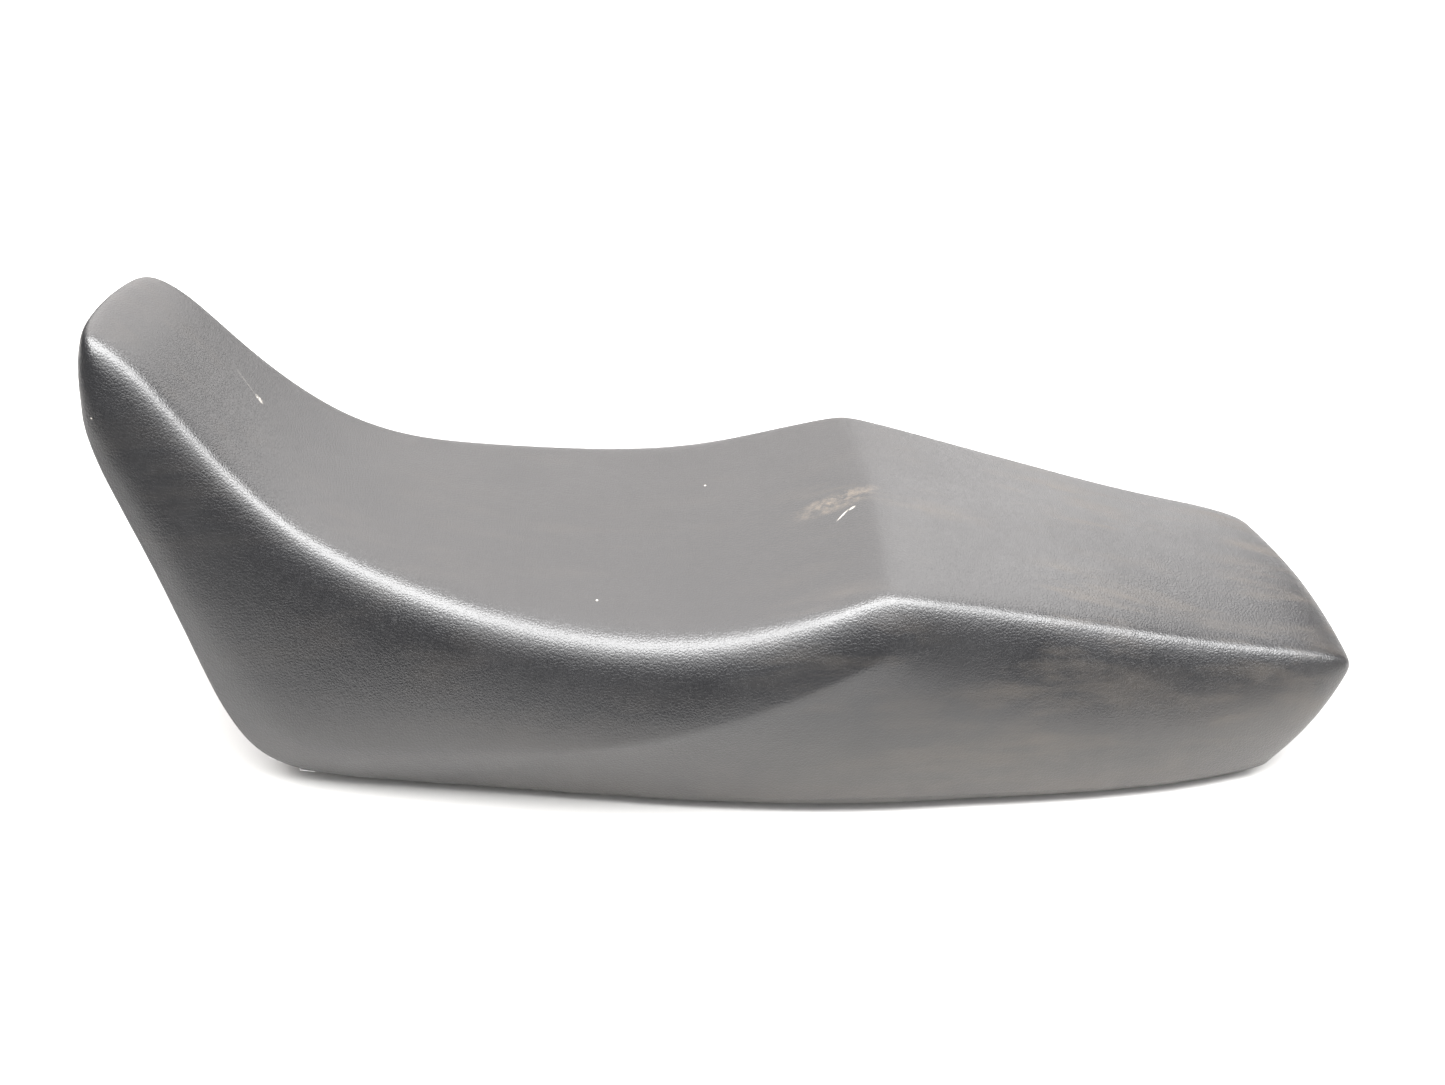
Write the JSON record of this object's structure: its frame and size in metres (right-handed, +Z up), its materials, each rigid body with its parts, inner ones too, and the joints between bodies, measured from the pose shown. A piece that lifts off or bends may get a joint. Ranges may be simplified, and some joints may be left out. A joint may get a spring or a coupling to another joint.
{
  "type": "motorcycle seat",
  "caption": "One-piece dual motorcycle seat: black grained vinyl over foam on a moulded pan, with a climbing nose, a rider's dip, a step and an undercut tail.",
  "frame": {"origin": "under the middle of the seat's box, on the surface that its rubber bumpers stand on", "axes": "+X towards the tail, -X towards the nose and the tank, -Y to the rider's left, +Z up"},
  "size_m": [0.7569, 0.28, 0.2868],
  "materials": {
    "cover_vinyl": "satin",
    "seat_foam": "matte",
    "pan_plastic": "matte",
    "plated_steel": "satin",
    "screw_steel": "satin",
    "insert_brass": "satin",
    "bumper_rubber": "matte",
    "pad_rubber": "matte"
  },
  "bodies": {
    "root": {"bumper_front_left": "bumper_rubber", "bumper_front_right": "bumper_rubber", "bumper_middle_left": "bumper_rubber", "bumper_middle_right": "bumper_rubber", "bumper_rear_left": "bumper_rubber", "bumper_rear_right": "bumper_rubber", "foam_cushion": "seat_foam", "front_tongue": "plated_steel", "hook_screw_left_front": "screw_steel", "hook_screw_left_rear": "screw_steel", "hook_screw_right_front": "screw_steel", "hook_screw_right_rear": "screw_steel", "seat_cover": "cover_vinyl", "seat_pan": "pan_plastic", "side_hook_left": "plated_steel", "side_hook_right": "plated_steel", "striker_insert_left_front": "insert_brass", "striker_insert_left_rear": "insert_brass", "striker_insert_right_front": "insert_brass", "striker_insert_right_rear": "insert_brass", "striker_loop": "plated_steel", "striker_plate": "plated_steel", "striker_screw_left_front": "screw_steel", "striker_screw_left_rear": "screw_steel", "striker_screw_right_front": "screw_steel", "striker_screw_right_rear": "screw_steel", "tank_pad_left": "pad_rubber", "tank_pad_right": "pad_rubber", "tongue_screw_left": "screw_steel", "tongue_screw_right": "screw_steel"}
  },
  "joints": []
}
